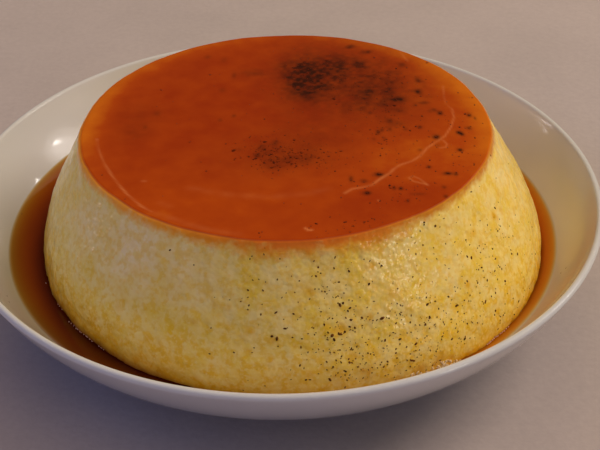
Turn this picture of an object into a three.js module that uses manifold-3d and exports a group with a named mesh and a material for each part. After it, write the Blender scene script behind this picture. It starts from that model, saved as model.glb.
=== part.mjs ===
// A creme caramel turned out of its mould into a shallow white porcelain bowl, with its caramel sauce.
// Millimetres, +Z up. The origin is on the table, under the middle of the bowl.
// The front is -Y, where the flan leans a little off the bowl's middle.

import * as THREE from "three";
import { mergeVertices } from "three/addons/utils/BufferGeometryUtils.js";
import Module from "manifold-3d";

// Bowl: a coupe shape whose wall is one arc from the floor up to a rounded lip.
const BOWL_RADIUS = 140;
const BOWL_HEIGHT = 51.5;
const LIP_RADIUS = 1.6;
const LIP_ARC = THREE.MathUtils.degToRad(135);
const WALL_CURVE_RADIUS = 75.4;
const WALL_SLOPE_AT_FLOOR = THREE.MathUtils.degToRad(6.8);
const WALL_THICKNESS_AT_FLOOR = 5.1;
const FLOOR_MIDDLE_HEIGHT = 5.3;
const UNDERSIDE_HEIGHT = 3;
const FOOT_RADIUS = 76;
const FOOT_WIDTH = 5;
const FOOT_ROUNDING = 1;

// Sauce: its level in the bowl, the clearance it keeps to what it touches, and how far the flan's
// shape goes on above it when it is cut out.
const SAUCE_LEVEL = 29;
const CLEARANCE = 0.3;
const CUTTER_OVERSHOOT = 2;

// Flan: a cone with a bellied foot, widest at the sauce, whose top is a little off its foot.
const BELLY_RADIUS = 109.75;
const BELLY_HEIGHT = SAUCE_LEVEL;
const TOP_RADIUS = 86.5;
const TOP_HEIGHT = 84.5;
const BELLY_FULLNESS = 0.47;
const BELLY_CENTRE = new THREE.Vector2(4.8, -6.45);
const TOP_CENTRE = new THREE.Vector2(2.4, -6.45);
const SEAT_CLEARANCE = 0.4;
const SEAT_ROUNDING = 3.6;

// Caramel: the soaked layer on top, whose face tips up towards the front and the right.
const CARAMEL_THICKNESS = 3;
const CARAMEL_ROUNDING = 1.3;
const TOP_RISE_TO_RIGHT = 0.01;
const TOP_RISE_TO_FRONT = 0.012;

// Unevenness of the flan's side: waves round it, with their turns, climb and depth.
const SIDE_WAVES = [
  { turns: 5, climb: 0.03, depth: 0.16, phase: 0.4 },
  { turns: 9, climb: -0.07, depth: 0.12, phase: 2.1 },
  { turns: 14, climb: 0.11, depth: 0.09, phase: 4.4 },
  { turns: 23, climb: -0.19, depth: 0.07, phase: 1.2 },
];

// Fineness of the surfaces.
const ROUND_STEPS = 80;
const WALL_STEPS = 10;
const LIP_STEPS = 3;
const ROUNDING_STEPS = 3;
const SEAT_STEPS = 6;
const SIDE_STEPS = 14;

const PORCELAIN = { color: 0xf2efea, roughness: 0.12, metalness: 0 };
const CUSTARD = { color: 0xe9cf7e, roughness: 0.45, metalness: 0 };
const CARAMEL = { color: 0xa8470f, roughness: 0.1, metalness: 0 };
const SAUCE = { color: 0x6b2807, roughness: 0.06, metalness: 0 };

const FULL_TURN = 2 * Math.PI;

// The middle line of the bowl's wall: an arc through the lip's centre that leaves the floor at its slope.
const LIP_CENTRE = new THREE.Vector2(BOWL_RADIUS - LIP_RADIUS, BOWL_HEIGHT - LIP_RADIUS);
const WALL_CENTRE_HEIGHT = FLOOR_MIDDLE_HEIGHT + WALL_CURVE_RADIUS * Math.cos(WALL_SLOPE_AT_FLOOR);
const LIP_DROP = WALL_CENTRE_HEIGHT - LIP_CENTRE.y;
const WALL_CENTRE = new THREE.Vector2(
  LIP_CENTRE.x - Math.sqrt(WALL_CURVE_RADIUS ** 2 - LIP_DROP ** 2),
  WALL_CENTRE_HEIGHT,
);
const LIP_ANGLE = -Math.asin(LIP_DROP / WALL_CURVE_RADIUS);
const FLOOR_ANGLE = WALL_SLOPE_AT_FLOOR - Math.PI / 2;

// A point of the bowl's wall at an angle of its arc: side 1 is the outer face, -1 the inner face.
// An inset takes it that far off the wall, into the bowl.
function wallPoint(angle, side, inset = 0) {
  const down = (LIP_ANGLE - angle) / (LIP_ANGLE - FLOOR_ANGLE);
  const thickness = THREE.MathUtils.lerp(2 * LIP_RADIUS, WALL_THICKNESS_AT_FLOOR, down);
  const radius = WALL_CURVE_RADIUS + (side * thickness) / 2 - inset;
  return new THREE.Vector2(
    WALL_CENTRE.x + radius * Math.cos(angle),
    WALL_CENTRE.y + radius * Math.sin(angle),
  );
}

const FLOOR_HEIGHT = wallPoint(FLOOR_ANGLE, -1).y;

// The angle of the inner face at a height above the floor, by halving the arc's range of angles.
function innerAngle(height, inset = 0) {
  let low = FLOOR_ANGLE;
  let high = LIP_ANGLE;
  for (let halving = 0; halving < 40; halving++) {
    const middle = (low + high) / 2;
    if (wallPoint(middle, -1, inset).y < height) low = middle;
    else high = middle;
  }
  return low;
}

// Numbers from first to last, both included, in equal steps.
function spread(first, last, steps) {
  return Array.from({ length: steps + 1 }, (_, i) => THREE.MathUtils.lerp(first, last, i / steps));
}

// A closed profile turned about Z.
function turned(profile) {
  return new THREE.LatheGeometry(profile, ROUND_STEPS).rotateX(Math.PI / 2);
}

// A closed skin over a stack of rings, lowest first, each closed by a fan to its centre at the ends.
function stacked(rings) {
  const points = rings.flat();
  const capCentre = (ring) =>
    ring.reduce((sum, point) => sum.add(point), new THREE.Vector3()).divideScalar(ring.length);
  const bottom = points.push(capCentre(rings[0])) - 1;
  const top = points.push(capCentre(rings.at(-1))) - 1;
  const lastRing = (rings.length - 1) * ROUND_STEPS;
  const faces = [];
  for (let i = 0; i < ROUND_STEPS; i++) {
    const next = (i + 1) % ROUND_STEPS;
    faces.push(bottom, next, i);
    faces.push(top, lastRing + i, lastRing + next);
    for (let ring = 0; ring < lastRing; ring += ROUND_STEPS) {
      const above = ring + ROUND_STEPS;
      faces.push(ring + i, ring + next, above + next);
      faces.push(ring + i, above + next, above + i);
    }
  }
  const geometry = new THREE.BufferGeometry().setFromPoints(points);
  geometry.setIndex(faces);
  geometry.computeVertexNormals();
  return geometry;
}

// The bowl's outline: underside, foot ring, outer wall, lip, inner wall and floor.
function bowlProfile() {
  const footInside = FOOT_RADIUS - FOOT_WIDTH;
  const footOutline = [
    new THREE.Vector2(0, UNDERSIDE_HEIGHT),
    new THREE.Vector2(footInside - FOOT_ROUNDING, UNDERSIDE_HEIGHT),
    new THREE.Vector2(footInside, UNDERSIDE_HEIGHT - FOOT_ROUNDING),
    new THREE.Vector2(footInside, FOOT_ROUNDING / 2),
    new THREE.Vector2(footInside + FOOT_ROUNDING / 2, 0),
    new THREE.Vector2(FOOT_RADIUS - FOOT_ROUNDING, 0),
    new THREE.Vector2(FOOT_RADIUS, FOOT_ROUNDING),
  ];
  const outerWall = spread(FLOOR_ANGLE, LIP_ANGLE, WALL_STEPS).map((angle) => wallPoint(angle, 1));
  const lip = spread(0, LIP_ARC, LIP_STEPS)
    .map((angle) => new THREE.Vector2(Math.cos(angle), Math.sin(angle)))
    .map((direction) => direction.multiplyScalar(LIP_RADIUS).add(LIP_CENTRE));
  const innerWall = spread(LIP_ANGLE, FLOOR_ANGLE, WALL_STEPS).map((angle) => wallPoint(angle, -1));
  return [...footOutline, ...outerWall, ...lip, ...innerWall, new THREE.Vector2(0, FLOOR_HEIGHT)];
}

// The smaller of two lengths, with the corner between them rounded off.
function roundedMin(a, b, rounding) {
  const overlap = Math.max(rounding - Math.abs(a - b), 0) / rounding;
  return Math.min(a, b) - (overlap * overlap * rounding) / 4;
}

// The flan's radius, moved out by an outset: a cone that swells to its belly, and below the sauce
// follows the bowl's wall.
function flanRadius(height, outset) {
  if (height >= BELLY_HEIGHT) {
    const rise = (height - BELLY_HEIGHT) / (TOP_HEIGHT - BELLY_HEIGHT);
    const taken = rise ** 2 * (1 + 2 * BELLY_FULLNESS * (1 - rise));
    return THREE.MathUtils.lerp(BELLY_RADIUS, TOP_RADIUS, taken) + outset;
  }
  const inset = SEAT_CLEARANCE - outset;
  const wall = wallPoint(innerAngle(height, inset), -1, inset);
  return roundedMin(BELLY_RADIUS + outset, wall.x - BELLY_CENTRE.length(), SEAT_ROUNDING);
}

// How far the flan's side stands proud at an angle and height. It is even where it sits in the bowl.
function sideRelief(angle, height) {
  const shown = THREE.MathUtils.smoothstep(height, BELLY_HEIGHT - SEAT_ROUNDING, BELLY_HEIGHT);
  const waves = SIDE_WAVES.map(
    ({ turns, climb, depth, phase }) => depth * Math.sin(turns * angle + climb * height + phase),
  );
  return shown * waves.reduce((sum, wave) => sum + wave, 0);
}

// A point of the flan's side, moved out by an outset.
function flanPoint(angle, height, outset = 0) {
  const rise = THREE.MathUtils.clamp((height - BELLY_HEIGHT) / (TOP_HEIGHT - BELLY_HEIGHT), 0, 1);
  const centre = BELLY_CENTRE.clone().lerp(TOP_CENTRE, rise);
  const radius = flanRadius(height, outset) + sideRelief(angle, height);
  return new THREE.Vector3(
    centre.x + radius * Math.cos(angle),
    centre.y + radius * Math.sin(angle),
    height,
  );
}

function ringOf(pointAt) {
  return spread(0, FULL_TURN, ROUND_STEPS).slice(0, -1).map(pointAt);
}

const LAYER_HEIGHT = TOP_HEIGHT - CARAMEL_THICKNESS;

// The heights of the rings that follow the bowl's wall, from the floor up to the belly.
const SEAT_HEIGHTS = [
  FLOOR_HEIGHT,
  ...spread(innerAngle(FLOOR_HEIGHT + SEAT_CLEARANCE), innerAngle(BELLY_HEIGHT), SEAT_STEPS)
    .map((angle) => wallPoint(angle, -1).y)
    .slice(0, -1),
  BELLY_HEIGHT,
];

// The custard body, from the bowl's floor up to the caramel layer.
function custard() {
  const heights = [...SEAT_HEIGHTS, ...spread(BELLY_HEIGHT, LAYER_HEIGHT, SIDE_STEPS).slice(1)];
  return stacked(heights.map((height) => ringOf((angle) => flanPoint(angle, height))));
}

// The height of the caramel's tipped face over a point of the flan's side.
function faceHeight(point) {
  const right = (point.x - TOP_CENTRE.x) * TOP_RISE_TO_RIGHT;
  const front = (TOP_CENTRE.y - point.y) * TOP_RISE_TO_FRONT;
  return TOP_HEIGHT + right + front;
}

// A ring of the caramel's rounded edge: turn 0 is where the side ends, a quarter turn is on the face.
function caramelEdge(turn) {
  return ringOf((angle) => {
    const side = flanPoint(angle, TOP_HEIGHT);
    const inwards = CARAMEL_ROUNDING * (1 - Math.cos(turn));
    const edge = flanPoint(angle, TOP_HEIGHT, -inwards);
    edge.z = faceHeight(side) - CARAMEL_ROUNDING * (1 - Math.sin(turn));
    return edge;
  });
}

// The caramel layer: flush with the custard below, with a rounded edge and a flat tipped face.
function caramelTop() {
  const foot = ringOf((angle) => flanPoint(angle, LAYER_HEIGHT));
  const edge = spread(0, Math.PI / 2, ROUNDING_STEPS).map(caramelEdge);
  return stacked([foot, ...edge]);
}

// A three.js geometry as a manifold solid.
function solidFrom(geometry, wasm) {
  const bare = geometry.clone().deleteAttribute("normal").deleteAttribute("uv");
  const merged = mergeVertices(bare, 1e-4);
  const mesh = new wasm.Mesh({
    numProp: 3,
    vertProperties: merged.attributes.position.array,
    triVerts: new Uint32Array(merged.index.array),
  });
  return new wasm.Manifold(mesh);
}

// A manifold solid as a three.js geometry.
function geometryFrom(solid) {
  const mesh = solid.getMesh();
  const geometry = new THREE.BufferGeometry();
  geometry.setAttribute("position", new THREE.BufferAttribute(mesh.vertProperties, 3));
  geometry.setIndex(new THREE.BufferAttribute(mesh.triVerts, 1));
  geometry.computeVertexNormals();
  return geometry;
}

// The pool of sauce: the bowl filled up to the sauce's level, cut round the flan.
async function caramelSauce() {
  const wasm = await Module();
  wasm.setup();
  const wall = SEAT_HEIGHTS.slice(1).map((height) =>
    wallPoint(innerAngle(height, CLEARANCE), -1, CLEARANCE),
  );
  const onAxis = (height) => new THREE.Vector2(0, height);
  const fill = turned([onAxis(wall[0].y), ...wall, onAxis(SAUCE_LEVEL)]);
  const cutterHeights = [...SEAT_HEIGHTS, SAUCE_LEVEL + CUTTER_OVERSHOOT];
  const cutter = stacked(
    cutterHeights.map((height) => ringOf((angle) => flanPoint(angle, height, CLEARANCE))),
  );
  return geometryFrom(solidFrom(fill, wasm).subtract(solidFrom(cutter, wasm)));
}

function piece(name, geometry, finish) {
  const mesh = new THREE.Mesh(geometry, new THREE.MeshStandardMaterial(finish));
  mesh.name = name;
  return mesh;
}

const cremeCaramel = new THREE.Group();
cremeCaramel.add(piece("bowl", turned(bowlProfile()), PORCELAIN));
cremeCaramel.add(piece("caramel_sauce", await caramelSauce(), SAUCE));
cremeCaramel.add(piece("custard", custard(), CUSTARD));
cremeCaramel.add(piece("caramel_top", caramelTop(), CARAMEL));

export default cremeCaramel;
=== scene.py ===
"""The looks of a creme caramel turned out into a white bowl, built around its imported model.

Metres, +Z up, and the front is -Y. A direction round the flan is an angle from +X towards +Y.
"""

import itertools
import math

import bpy
import numpy as np
from mathutils import Matrix, Vector


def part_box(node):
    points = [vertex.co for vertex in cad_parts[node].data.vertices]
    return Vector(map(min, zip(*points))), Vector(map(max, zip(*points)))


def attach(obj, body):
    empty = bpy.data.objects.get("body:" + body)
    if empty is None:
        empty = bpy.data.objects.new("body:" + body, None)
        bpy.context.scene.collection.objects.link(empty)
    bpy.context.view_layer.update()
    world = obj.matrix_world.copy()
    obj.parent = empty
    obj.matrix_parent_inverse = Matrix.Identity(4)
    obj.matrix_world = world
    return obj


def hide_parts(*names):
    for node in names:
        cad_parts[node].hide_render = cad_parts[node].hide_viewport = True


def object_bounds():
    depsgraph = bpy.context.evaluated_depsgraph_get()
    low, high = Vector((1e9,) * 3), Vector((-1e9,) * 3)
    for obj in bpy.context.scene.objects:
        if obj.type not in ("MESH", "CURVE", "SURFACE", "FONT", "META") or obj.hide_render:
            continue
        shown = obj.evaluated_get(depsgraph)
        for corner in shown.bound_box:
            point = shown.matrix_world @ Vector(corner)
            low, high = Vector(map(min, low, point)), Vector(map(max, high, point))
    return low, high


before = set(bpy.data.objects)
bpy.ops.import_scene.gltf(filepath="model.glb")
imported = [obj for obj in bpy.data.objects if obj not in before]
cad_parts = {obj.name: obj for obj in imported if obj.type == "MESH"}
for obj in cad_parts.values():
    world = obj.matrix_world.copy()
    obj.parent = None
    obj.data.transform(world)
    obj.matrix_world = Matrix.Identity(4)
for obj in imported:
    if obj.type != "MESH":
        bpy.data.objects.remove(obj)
CAD_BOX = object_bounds()

MM = 0.001
FULL_TURN = 2 * math.pi

# ---- Sizes of the solids, which the pieces here follow ----

BOWL_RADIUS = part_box("bowl")[1].x
BOWL_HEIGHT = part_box("bowl")[1].z
SAUCE_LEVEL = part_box("caramel_sauce")[1].z
LAYER_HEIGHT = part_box("custard")[1].z

LIP_RADIUS = 1.6 * MM
WALL_CURVE_RADIUS = 75.4 * MM
WALL_SLOPE_AT_FLOOR = math.radians(6.8)
WALL_THICKNESS_AT_FLOOR = 5.1 * MM
FLOOR_MIDDLE_HEIGHT = 5.3 * MM
UNDERSIDE_HEIGHT = 3 * MM
FOOT_RADIUS = 76 * MM
FOOT_WIDTH = 5 * MM
FOOT_ROUNDING = 1 * MM

BELLY_RADIUS = 109.75 * MM
BELLY_HEIGHT = SAUCE_LEVEL
BELLY_FULLNESS = 0.47
BELLY_CENTRE = np.array([4.8, -6.45]) * MM
TOP_RADIUS = 86.5 * MM
TOP_HEIGHT = 84.5 * MM
TOP_CENTRE = np.array([2.4, -6.45]) * MM
TOP_RISE_TO_RIGHT = 0.01
TOP_RISE_TO_FRONT = 0.012
SEAT_CLEARANCE = 0.4 * MM
SEAT_ROUNDING = 3.6 * MM
CARAMEL_ROUNDING = 1.3 * MM

# Waves of the flan's side: turns round it, climb in radians per metre, depth and phase.
SIDE_WAVES = [
    (5, 30, 0.16 * MM, 0.4),
    (9, -70, 0.12 * MM, 2.1),
    (14, 110, 0.09 * MM, 4.4),
    (23, -190, 0.07 * MM, 1.2),
]
# Swells of the flan's foot at the front right, the left and the front left, which end at a height:
# direction, how far round they spread, and depth.
FOOT_SWELLS = [
    (math.radians(-38), math.radians(22), 0.9 * MM),
    (math.radians(-166), math.radians(16), 0.4 * MM),
    (math.radians(-122), math.radians(18), 0.9 * MM),
]
SWELL_HEIGHT = 16 * MM

# ---- Camera: fitted to the outlines of the lip, the sauce and the flan ----

PHOTO_SIZE = (600, 450)
FOCAL_PIXELS = 1250
SENSOR_WIDTH_MM = 36
CAMERA_PLACE = Vector((7.98 * MM, -464.94 * MM, 352.09 * MM))
CAMERA_TARGET = Vector((7.98 * MM, 0, 27.78 * MM))
CAMERA_ROLL = math.radians(-0.353)


def add_object(name, data):
    """Puts a mesh, a camera or a lamp into the scene."""
    placed = bpy.data.objects.new(name, data)
    bpy.context.scene.collection.objects.link(placed)
    return placed


def camera_axes():
    """The camera's right, up and forward directions."""
    forward = (CAMERA_TARGET - CAMERA_PLACE).normalized()
    level_right = forward.cross(Vector((0, 0, 1))).normalized()
    level_up = level_right.cross(forward)
    right = level_right * math.cos(CAMERA_ROLL) + level_up * math.sin(CAMERA_ROLL)
    return right, right.cross(forward), forward


def add_camera():
    right, up, forward = camera_axes()
    camera = bpy.data.cameras.new("camera")
    camera.sensor_width = SENSOR_WIDTH_MM
    camera.lens = FOCAL_PIXELS / PHOTO_SIZE[0] * SENSOR_WIDTH_MM
    camera.clip_start = 10 * MM
    placed = add_object("camera", camera)
    turned = Matrix((right, up, -forward)).transposed().to_4x4()
    placed.matrix_world = Matrix.Translation(CAMERA_PLACE) @ turned
    bpy.context.scene.camera = placed


def sight_lines(pixels):
    """Directions from the camera through pixels of the photograph."""
    right, up, forward = (np.array(axis) for axis in camera_axes())
    offset = (np.asarray(pixels, float) - np.array(PHOTO_SIZE) / 2) / FOCAL_PIXELS
    return forward + offset[:, :1] * right - offset[:, 1:] * up


# ---- Measures and points ----


def blend(share, first, second):
    """The first value where the share is 0, and the second where it is 1."""
    return first + (second - first) * share


def smooth(value, low, high):
    """0 below low, 1 above high, and smooth between them."""
    share = np.clip((value - low) / (high - low), 0, 1)
    return share * share * (3 - 2 * share)


def bell(angle, middle, spread):
    """1 in a direction, and fading to 0 on both sides of it."""
    return np.exp(-((((angle - middle + math.pi) % FULL_TURN - math.pi) / spread) ** 2))


def directions(count):
    """Even directions, all round."""
    return np.linspace(0, FULL_TURN, count, endpoint=False)


def direction(points, centre=(0, 0)):
    """Directions of points from a centre, seen from above."""
    offset = points[..., :2] - centre
    return np.arctan2(offset[..., 1], offset[..., 0])


def away(points, centre=(0, 0)):
    """Distances of points from a centre, seen from above."""
    offset = points[..., :2] - centre
    return np.hypot(offset[..., 0], offset[..., 1])


def around(angle, radius, height, centre=np.zeros(2)):
    """Points in directions and at distances from a centre, at heights."""
    angle, radius, height = np.broadcast_arrays(angle, radius, height)
    x, y = centre[..., 0] + radius * np.cos(angle), centre[..., 1] + radius * np.sin(angle)
    return np.stack([x, y, height], axis=-1)


# ---- Shape of the bowl and the flan ----

LIP_CENTRE = np.array([BOWL_RADIUS - LIP_RADIUS, BOWL_HEIGHT - LIP_RADIUS])
WALL_CENTRE_HEIGHT = FLOOR_MIDDLE_HEIGHT + WALL_CURVE_RADIUS * math.cos(WALL_SLOPE_AT_FLOOR)
LIP_DROP = WALL_CENTRE_HEIGHT - LIP_CENTRE[1]
WALL_CENTRE_RADIUS = LIP_CENTRE[0] - math.sqrt(WALL_CURVE_RADIUS**2 - LIP_DROP**2)
LIP_ANGLE = -math.asin(LIP_DROP / WALL_CURVE_RADIUS)
FLOOR_ANGLE = WALL_SLOPE_AT_FLOOR - math.pi / 2
WALL_SAMPLES = 300
WALL_ANGLES = np.linspace(FLOOR_ANGLE, LIP_ANGLE, WALL_SAMPLES)
# How far the wall's normal leans at most, as a share of its length.
STEEPEST_LEAN = 0.9


def wall_points(angles, side, inset=0.0):
    """Radius and height of the bowl's outer face (side 1) or inner face (side -1) at angles of its arc."""
    down = (LIP_ANGLE - angles) / (LIP_ANGLE - FLOOR_ANGLE)
    thickness = blend(down, 2 * LIP_RADIUS, WALL_THICKNESS_AT_FLOOR)
    reach = WALL_CURVE_RADIUS + side * thickness / 2 - inset
    return WALL_CENTRE_RADIUS + reach * np.cos(angles), WALL_CENTRE_HEIGHT + reach * np.sin(angles)


def inner_radius(height, inset=0.0):
    """Radius of the bowl's inner face at a height."""
    radii, heights = wall_points(WALL_ANGLES, -1, inset)
    return np.interp(height, heights, radii)


def inner_height(radius):
    """Height of the bowl's inner face at a radius."""
    radii, heights = wall_points(WALL_ANGLES, -1)
    return np.interp(radius, radii, heights)


BOWL_FLOOR = float(inner_height(0))


def wall_normals(points):
    """Directions straight off the bowl's inner face, at or over points of it."""
    outwards = np.clip((away(points) - WALL_CENTRE_RADIUS) / WALL_CURVE_RADIUS, 0, STEEPEST_LEAN)
    return around(direction(points), -outwards, np.sqrt(1 - outwards**2))


def rise_share(height):
    """0 at the belly and below it, and 1 at the top."""
    return np.clip((height - BELLY_HEIGHT) / (TOP_HEIGHT - BELLY_HEIGHT), 0, 1)


def over_sauce(height):
    """1 above the sauce, and fading to 0 below it."""
    return smooth(height, BELLY_HEIGHT - SEAT_ROUNDING, BELLY_HEIGHT)


def flan_radius(height):
    """The flan's radius: a cone that swells to its belly, and below the sauce follows the bowl's wall."""
    rise = rise_share(height)
    cone = blend(rise**2 * (1 + 2 * BELLY_FULLNESS * (1 - rise)), BELLY_RADIUS, TOP_RADIUS)
    seat = inner_radius(height, SEAT_CLEARANCE) - np.hypot(*BELLY_CENTRE)
    overlap = np.maximum(SEAT_ROUNDING - np.abs(BELLY_RADIUS - seat), 0) / SEAT_ROUNDING
    foot = np.minimum(BELLY_RADIUS, seat) - overlap**2 * SEAT_ROUNDING / 4
    return np.where(height >= BELLY_HEIGHT, cone, foot)


def flan_centre(height):
    return blend(rise_share(height)[..., None], BELLY_CENTRE, TOP_CENTRE)


def side_waves(angle, height):
    """How far the flan's side stands out from an even one, by its waves and the swells of its foot."""
    waves = sum(
        depth * np.sin(turns * angle + climb * height + phase) for turns, climb, depth, phase in SIDE_WAVES
    )
    swells = sum(depth * bell(angle, middle, spread) for middle, spread, depth in FOOT_SWELLS)
    above = np.clip((height - BELLY_HEIGHT) / SWELL_HEIGHT, 0, 1)
    return (waves + swells * (1 - above) ** 2) * over_sauce(height)


def flan_point(angle, height, outset=0.0):
    """Points of the flan's side at angles and heights, moved out by an outset."""
    angle, height = np.broadcast_arrays(angle, height)
    radius = flan_radius(height) + side_waves(angle, height) + outset
    return around(angle, radius, height, flan_centre(height))


def face_height(x, y):
    """Height of the caramel's tipped face."""
    return TOP_HEIGHT + (x - TOP_CENTRE[0]) * TOP_RISE_TO_RIGHT + (TOP_CENTRE[1] - y) * TOP_RISE_TO_FRONT


# ---- Relief, from smooth noise at points in space ----

# Large odd numbers that mix a cell's place and a seed into a random number.
PLACE_MIXERS = (73856093, 19349663, 83492791)
SEED_MIXER = 40503
ROUND_MIXER = 1274126177
LOW_32_BITS = 0xFFFFFFFF
LOW_16_BITS = 0xFFFF


def lattice_value(cells, seed):
    """A fixed random number from 0 to 1 for each cell of a lattice."""
    mixed = seed * SEED_MIXER
    for axis, mixer in enumerate(PLACE_MIXERS):
        mixed = mixed ^ cells[..., axis] * mixer
    for shift in (13, 17):
        mixed = ((mixed ^ (mixed >> shift)) * ROUND_MIXER) & LOW_32_BITS
    return ((mixed ^ (mixed >> 15)) & LOW_16_BITS) / LOW_16_BITS


def lumps(points, size, seed):
    """Smooth noise from -1 to 1, with lumps of about that size."""
    cells = points / size
    base = np.floor(cells).astype(np.int64)
    part = cells - base
    part = part * part * (3 - 2 * part)
    total = 0
    for corner in itertools.product((0, 1), repeat=3):
        share = np.prod(np.where(corner, part, 1 - part), axis=-1)
        total = total + share * lattice_value(base + corner, seed)
    return 2 * total - 1


def dimples(points, spacing, reach, seed):
    """Round dimples from 0 to 1 deep, one at most in each cell of that spacing, out to that reach."""
    cells = points / spacing
    base = np.floor(cells).astype(np.int64)
    deepest = np.zeros(points.shape[:-1])
    for step in itertools.product((-1, 0, 1), repeat=3):
        cell = base + step
        middle = cell + np.stack([lattice_value(cell, seed + k) for k in (1, 2, 3)], axis=-1)
        width = reach / spacing * (0.4 + 0.6 * lattice_value(cell, seed + 4))
        distance = np.linalg.norm(cells - middle, axis=-1) / width
        depth = lattice_value(cell, seed + 5) ** 2
        deepest = np.maximum(deepest, depth * np.clip(1 - distance**2, 0, 1))
    return deepest


# The custard's relief: lumps' sizes, depths and seeds, and dimples' spacings, reaches, depths and seeds.
CUSTARD_LUMPS = [(9.0 * MM, 0.24 * MM, 11), (4.0 * MM, 0.22 * MM, 12), (2.1 * MM, 0.11 * MM, 13)]
CUSTARD_DIMPLES = [(3.0 * MM, 1.5 * MM, 0.32 * MM, 21), (2.0 * MM, 0.9 * MM, 0.18 * MM, 31)]


def custard_relief(points):
    """How far the custard's surface stands proud, above the sauce."""
    proud = sum(depth * lumps(points, size, seed) for size, depth, seed in CUSTARD_LUMPS)
    sunk = sum(
        depth * dimples(points, spacing, reach, seed) for spacing, reach, depth, seed in CUSTARD_DIMPLES
    )
    return (proud - sunk) * over_sauce(points[..., 2])


def custard_point(angle, height, share=1.0, outset=0.0):
    """Points of the flan's side with a share of the custard's relief."""
    return flan_point(angle, height, share * custard_relief(flan_point(angle, height)) + outset)


# ---- Meshes ----


def grid_faces(rows, columns):
    """Quads of a grid whose rows are closed rings, counted from the lowest row's first point."""
    index = np.arange(rows * columns).reshape(rows, columns)
    right = np.roll(index, -1, axis=1)
    return np.stack([index[:-1], right[:-1], right[1:], index[1:]], axis=-1).reshape(-1, 4)


def closed_rings(rings):
    """Vertices and faces of a closed skin over a stack of rings, with a fan at each end."""
    rows, columns = rings.shape[:2]
    ends = np.stack([rings[0].mean(axis=0), rings[-1].mean(axis=0)])
    bottom, top, last = rows * columns, rows * columns + 1, (rows - 1) * columns
    faces = grid_faces(rows, columns).tolist()
    faces += [[bottom, (i + 1) % columns, i] for i in range(columns)]
    faces += [[top, last + i, last + (i + 1) % columns] for i in range(columns)]
    return np.concatenate([rings.reshape(-1, 3), ends]), faces


def add_piece(name, vertices, faces, material, replaced=(), sharp_degrees=None):
    """A mesh that rides on the part, with its finish."""
    mesh = bpy.data.meshes.new(name)
    mesh.from_pydata(vertices.reshape(-1, 3).tolist(), [], faces)
    mesh.shade_smooth()
    if sharp_degrees is not None:
        mesh.set_sharp_from_angle(angle=math.radians(sharp_degrees))
    mesh.materials.append(material)
    mesh.validate()
    piece = add_object(name, mesh)
    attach(piece, "root")
    if replaced:
        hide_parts(*replaced)
    return piece


def store(piece, name, values, kind="FLOAT", field="value"):
    """Keeps a number, colour or direction for each vertex, for the material to read."""
    attribute = piece.data.attributes.new(name, kind, "POINT")
    attribute.data.foreach_set(field, np.asarray(values, np.float32).ravel())


# ---- Materials ----


def srgb(*channels):
    """A linear colour from 0 to 255 display values."""
    shares = np.array(channels) / 255
    linear = np.where(shares <= 0.04045, shares / 12.92, ((shares + 0.055) / 1.055) ** 2.4)
    return (*linear.tolist(), 1.0)


# Reaches of a noise's values: most of them, and its middle.
WIDE = (0.3, 0.7)
MIDDLE = (0.35, 0.65)


class Finish:
    """A material in the making. Its methods return sockets that the others take."""

    def __init__(self, name):
        self.material = bpy.data.materials.new(name)
        self.material.use_nodes = True
        self.tree = self.material.node_tree
        self.surface = self.tree.nodes["Principled BSDF"]
        self.place = self.node("TexCoord").outputs["Object"]

    def feed(self, socket, value):
        if isinstance(value, bpy.types.NodeSocket):
            self.tree.links.new(value, socket)
        else:
            socket.default_value = value

    def node(self, kind, inputs=None, **settings):
        """A node with settings, and with inputs by their names or numbers."""
        made = self.tree.nodes.new("ShaderNode" + kind)
        for name, value in settings.items():
            setattr(made, name, value)
        for name, value in (inputs or {}).items():
            self.feed(made.inputs[name], value)
        return made

    def spread(self, value, low, high, to_low=0.0, to_high=1.0):
        """A value whose reach from low to high becomes another one."""
        return self.node("MapRange", dict(enumerate((value, low, high, to_low, to_high)))).outputs[0]

    def maths(self, operation, first, second):
        return self.node("Math", {0: first, 1: second}, operation=operation).outputs[0]

    def vector(self, operation, first, second=(0, 0, 0), scale=1.0):
        return self.node("VectorMath", {0: first, 1: second, 3: scale}, operation=operation).outputs[0]

    def split(self, vector):
        """The X, Y and Z of a vector."""
        return self.node("SeparateXYZ", {0: vector}).outputs

    def mix(self, share, first, second, blend_type="MIX"):
        inputs = {0: share, 6: first, 7: second}
        return self.node("Mix", inputs, data_type="RGBA", blend_type=blend_type).outputs[2]

    def ramp(self, value, stops):
        made = self.node("ValToRGB", {0: value})
        elements = made.color_ramp.elements
        while len(elements) < len(stops):
            elements.new(0.5)
        for element, (position, colour) in zip(elements, stops):
            element.position = position
            element.color = colour
        return made.outputs["Color"]

    def noise(self, size, detail=2.0, roughness=0.5, output="Fac"):
        inputs = {"Vector": self.place, "Scale": 1 / size, "Detail": detail, "Roughness": roughness}
        return self.node("TexNoise", inputs).outputs[output]

    def clouds(self, size, reach=MIDDLE, to=(0.0, 1.0), detail=2.0, roughness=0.5):
        """Noise whose reach becomes another one."""
        return self.spread(self.noise(size, detail, roughness), *reach, *to)

    def stored(self, name, output="Fac"):
        return self.node("Attribute", attribute_name=name).outputs[output]

    def bump(self, height, depth, normal=None, strength=1.0):
        inputs = {"Height": height, "Distance": depth, "Strength": strength}
        if normal is not None:
            inputs["Normal"] = normal
        return self.node("Bump", inputs).outputs["Normal"]

    def dress(self, **values):
        """Sets the surface's own sockets, whose names' spaces are underscores here."""
        for name, value in values.items():
            self.feed(self.surface.inputs[name.replace("_", " ")], value)
        return self.material


# Porcelain: a white glaze with a faint unevenness.
PORCELAIN = np.array([0.595, 0.585, 0.572])
PORCELAIN_WASH = 0.97


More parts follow.
